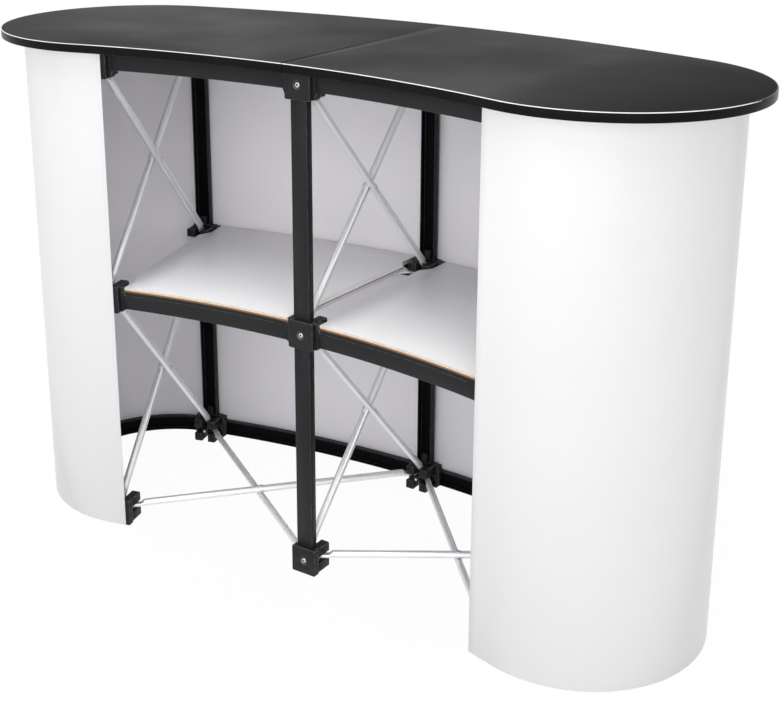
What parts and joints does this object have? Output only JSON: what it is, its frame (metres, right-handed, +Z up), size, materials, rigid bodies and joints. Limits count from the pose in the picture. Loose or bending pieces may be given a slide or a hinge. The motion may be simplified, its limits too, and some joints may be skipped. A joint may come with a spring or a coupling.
{
  "type": "exhibition counter",
  "caption": "Curved pop-up exhibition counter with a scissor frame behind a rolled skirt, shelves in its open side and a folding top.",
  "frame": {"origin": "on the floor under the middle of the counter's outline", "axes": "+X along the counter to the right hand of someone at the open side, +Y from the open side to the public side, +Z up"},
  "size_m": [1.435, 0.5567, 0.92],
  "materials": {
    "hub_plastic": "black moulded nylon, fine grain",
    "bar_black": "black extruded channel, satin",
    "rod_aluminium": "satin drawn hexagonal rod",
    "skirt_sheet": "white laminated sheet, satin outside, plain grey-white inside",
    "top_laminate": "charcoal laminate over board with black edging",
    "shelf_laminate": "white laminate over plywood, bare cut edges"
  },
  "bodies": {
    "frame": {"hub_near_left_bottom": "hub_plastic", "hub_near_left_top": "hub_plastic", "hub_near_left_middle": "hub_plastic", "post_near_left_lower": "bar_black", "post_near_left_upper": "bar_black", "hub_near_middle_bottom": "hub_plastic", "hub_near_middle_top": "hub_plastic", "hub_near_middle_middle": "hub_plastic", "post_near_middle_lower": "bar_black", "post_near_middle_upper": "bar_black", "hub_near_right_bottom": "hub_plastic", "hub_near_right_top": "hub_plastic", "hub_near_right_middle": "hub_plastic", "post_near_right_lower": "bar_black", "post_near_right_upper": "bar_black", "hub_far_left_bottom": "hub_plastic", "hub_far_left_top": "hub_plastic", "hub_far_left_middle": "hub_plastic", "post_far_left_lower": "bar_black", "post_far_left_upper": "bar_black", "hub_far_middle_bottom": "hub_plastic", "hub_far_middle_top": "hub_plastic", "hub_far_middle_middle": "hub_plastic", "post_far_middle_lower": "bar_black", "post_far_middle_upper": "bar_black", "hub_far_right_bottom": "hub_plastic", "hub_far_right_top": "hub_plastic", "hub_far_right_middle": "hub_plastic", "post_far_right_lower": "bar_black", "post_far_right_upper": "bar_black", "scissor_left_lower": "rod_aluminium", "scissor_left_upper": "rod_aluminium", "scissor_middle_lower": "rod_aluminium", "scissor_middle_upper": "rod_aluminium", "scissor_right_lower": "rod_aluminium", "scissor_right_upper": "rod_aluminium", "scissor_bottom_left": "rod_aluminium", "rail_far_bottom_left": "bar_black", "scissor_middle_left": "rod_aluminium", "rail_far_middle_left": "bar_black", "scissor_top_left": "rod_aluminium", "rail_far_top_left": "bar_black", "rail_near_middle_left": "bar_black", "rail_near_top_left": "bar_black", "end_bow_left": "bar_black", "scissor_bottom_right": "rod_aluminium", "rail_far_bottom_right": "bar_black", "scissor_middle_right": "rod_aluminium", "rail_far_middle_right": "bar_black", "scissor_top_right": "rod_aluminium", "rail_far_top_right": "bar_black", "rail_near_middle_right": "bar_black", "rail_near_top_right": "bar_black", "end_bow_right": "bar_black", "skirt_panel": "skirt_sheet"},
    "top_left": {"tabletop_left": "top_laminate"},
    "top_right": {"tabletop_right": "top_laminate"},
    "left_shelf": {"shelf_left": "shelf_laminate"},
    "right_shelf": {"shelf_right": "shelf_laminate"}
  },
  "joints": [
    {"name": "tabletop_lift", "type": "slide", "parent": "frame", "child": "top_left", "axis": [0, 0, 1], "range_m": [0, 0.15]},
    {"name": "tabletop_fold", "type": "hinge", "parent": "top_left", "child": "top_right", "pos_m": [0, 0, 0.9203], "axis": [0, -1, 0], "range_deg": [0, 178]},
    {"name": "left_shelf_lift", "type": "slide", "parent": "frame", "child": "left_shelf", "axis": [0, 0, 1], "range_m": [0, 0.12]},
    {"name": "right_shelf_lift", "type": "slide", "parent": "frame", "child": "right_shelf", "axis": [0, 0, 1], "range_m": [0, 0.12]}
  ]
}
